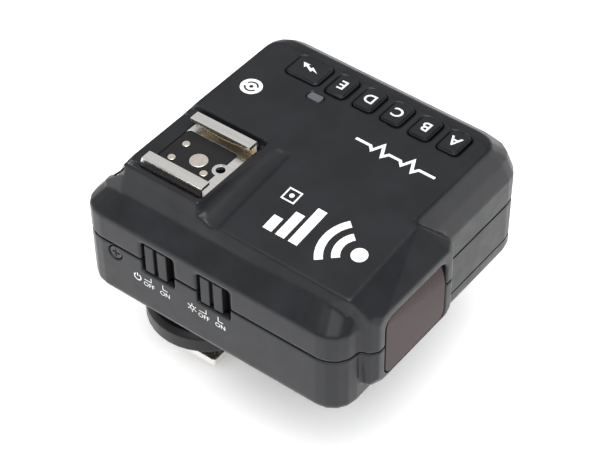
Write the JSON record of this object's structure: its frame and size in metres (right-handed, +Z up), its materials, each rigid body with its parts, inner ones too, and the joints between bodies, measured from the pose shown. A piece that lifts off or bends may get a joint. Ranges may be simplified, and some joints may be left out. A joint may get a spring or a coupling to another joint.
{
  "type": "wireless_flash_trigger",
  "caption": "Black plastic on-camera wireless flash trigger with a hot shoe on top, a column of group keys, side slide switches, a red front window and a locking shoe foot.",
  "frame": {"origin": "centre of the foot plate's underside, where the foot stands on a camera's shoe", "axes": "+Z up out of the camera, +Y forward to the subject, +X to the viewer's right"},
  "size_m": [0.07, 0.0772, 0.0582],
  "materials": {
    "shell": "fine-grained matte black",
    "key": "smooth matte black",
    "dark": "matte",
    "steel": "satin",
    "fastener": "black oxide",
    "brass": "satin",
    "gold": "gold plated",
    "window": "gloss dark red",
    "display": "gloss",
    "light": "milky",
    "board": "solder mask",
    "cell": "gloss sleeve"
  },
  "bodies": {
    "housing": {"top_cover": "shell", "bottom_cover": "shell", "rear_panel": "shell", "af_assist_window": "window", "af_assist_led": "light", "display_window": "display", "lcd_module": "dark", "dial_encoder": "dark", "shoe_plate": "steel", "shoe_insert": "dark", "shoe_centre_contact": "gold", "shoe_signal_contact_1": "gold", "shoe_signal_contact_2": "gold", "shoe_signal_contact_3": "gold", "shoe_spring_left": "brass", "shoe_spring_right": "brass", "status_light_pipe": "light", "power_switch_body": "dark", "assist_switch_body": "dark", "side_screw": "fastener", "foot_plate": "steel", "foot_insert": "dark", "foot_post": "dark", "main_board": "board", "button_board": "board", "radio_module": "steel", "usb_c_port": "steel", "sync_jack": "steel", "aa_cell_1": "cell", "aa_cell_2": "cell", "battery_contact_front": "steel", "battery_contact_rear": "steel", "battery_door_hinge_pin": "steel", "case_screw_1": "fastener", "case_screw_2": "fastener", "case_screw_3": "fastener", "case_screw_4": "fastener"},
    "battery_door": {"battery_door": "shell"},
    "button_a": {"button_a": "key"},
    "button_b": {"button_b": "key"},
    "button_c": {"button_c": "key"},
    "button_d": {"button_d": "key"},
    "button_e": {"button_e": "key"},
    "test_button": {"test_button": "key"},
    "power_switch_knob": {"power_switch_knob": "key"},
    "assist_switch_knob": {"assist_switch_knob": "key"},
    "select_dial": {"select_dial": "key"},
    "set_button": {"set_button": "key"},
    "function_button_1": {"function_button_1": "key"},
    "function_button_2": {"function_button_2": "key"},
    "function_button_3": {"function_button_3": "key"},
    "function_button_4": {"function_button_4": "key"},
    "foot_pin_1": {"foot_pin_1": "gold"},
    "foot_pin_2": {"foot_pin_2": "gold"},
    "foot_pin_3": {"foot_pin_3": "gold"},
    "foot_pin_4": {"foot_pin_4": "gold"},
    "lock_washer": {"lock_washer": "steel"},
    "lock_ring": {"lock_ring": "key"}
  },
  "joints": [
    {"name": "press_a", "type": "slide", "parent": "housing", "child": "button_a", "axis": [0, 0, -1], "range_m": [0, 0.0005], "stiffness_N_per_m": 400},
    {"name": "press_b", "type": "slide", "parent": "housing", "child": "button_b", "axis": [0, 0, -1], "range_m": [0, 0.0005], "stiffness_N_per_m": 400},
    {"name": "press_c", "type": "slide", "parent": "housing", "child": "button_c", "axis": [0, 0, -1], "range_m": [0, 0.0005], "stiffness_N_per_m": 400},
    {"name": "press_d", "type": "slide", "parent": "housing", "child": "button_d", "axis": [0, 0, -1], "range_m": [0, 0.0005], "stiffness_N_per_m": 400},
    {"name": "press_e", "type": "slide", "parent": "housing", "child": "button_e", "axis": [0, 0, -1], "range_m": [0, 0.0005], "stiffness_N_per_m": 400},
    {"name": "press_test", "type": "slide", "parent": "housing", "child": "test_button", "axis": [0, 0, -1], "range_m": [0, 0.0005], "stiffness_N_per_m": 400},
    {"name": "press_function_1", "type": "slide", "parent": "housing", "child": "function_button_1", "axis": [0, 0.9799, -0.1994], "range_m": [0, 0.0005], "stiffness_N_per_m": 400},
    {"name": "press_function_2", "type": "slide", "parent": "housing", "child": "function_button_2", "axis": [0, 0.9799, -0.1994], "range_m": [0, 0.0005], "stiffness_N_per_m": 400},
    {"name": "press_function_3", "type": "slide", "parent": "housing", "child": "function_button_3", "axis": [0, 0.9799, -0.1994], "range_m": [0, 0.0005], "stiffness_N_per_m": 400},
    {"name": "press_function_4", "type": "slide", "parent": "housing", "child": "function_button_4", "axis": [0, 0.9799, -0.1994], "range_m": [0, 0.0005], "stiffness_N_per_m": 400},
    {"name": "press_set", "type": "slide", "parent": "housing", "child": "set_button", "axis": [0, 0.9799, -0.1994], "range_m": [0, 0.0005], "stiffness_N_per_m": 400},
    {"name": "spring_pin_1", "type": "slide", "parent": "housing", "child": "foot_pin_1", "axis": [0, 0, 1], "range_m": [0, 0.0005], "stiffness_N_per_m": 400},
    {"name": "spring_pin_2", "type": "slide", "parent": "housing", "child": "foot_pin_2", "axis": [0, 0, 1], "range_m": [0, 0.0005], "stiffness_N_per_m": 400},
    {"name": "spring_pin_3", "type": "slide", "parent": "housing", "child": "foot_pin_3", "axis": [0, 0, 1], "range_m": [0, 0.0005], "stiffness_N_per_m": 400},
    {"name": "spring_pin_4", "type": "slide", "parent": "housing", "child": "foot_pin_4", "axis": [0, 0, 1], "range_m": [0, 0.0005], "stiffness_N_per_m": 400},
    {"name": "power_slide", "type": "slide", "parent": "housing", "child": "power_switch_knob", "axis": [0, 1, 0], "range_m": [0, 0.002]},
    {"name": "assist_slide", "type": "slide", "parent": "housing", "child": "assist_switch_knob", "axis": [0, 1, 0], "range_m": [0, 0.002]},
    {"name": "dial_turn", "type": "hinge", "parent": "housing", "child": "select_dial", "pos_m": [0.0025, -0.01579, 0.03937], "axis": [0, -0.9799, 0.1994], "continuous": true},
    {"name": "door_swing", "type": "hinge", "parent": "housing", "child": "battery_door", "pos_m": [-0.0192, 0.0177, 0.0252], "axis": [0, -1, 0], "range_deg": [0, 90]},
    {"name": "lock_lift", "type": "slide", "parent": "housing", "child": "lock_washer", "axis": [0, 0, -1], "range_m": [0, 0.0038]},
    {"name": "lock_turn", "type": "hinge", "parent": "lock_washer", "child": "lock_ring", "pos_m": [0, 0, 0.009], "axis": [0, 0, 1], "range_deg": [0, 340]}
  ],
  "couplings": [
    {"joint": "lock_lift", "follows": "lock_turn", "m_per_rad": 0.00063662}
  ]
}
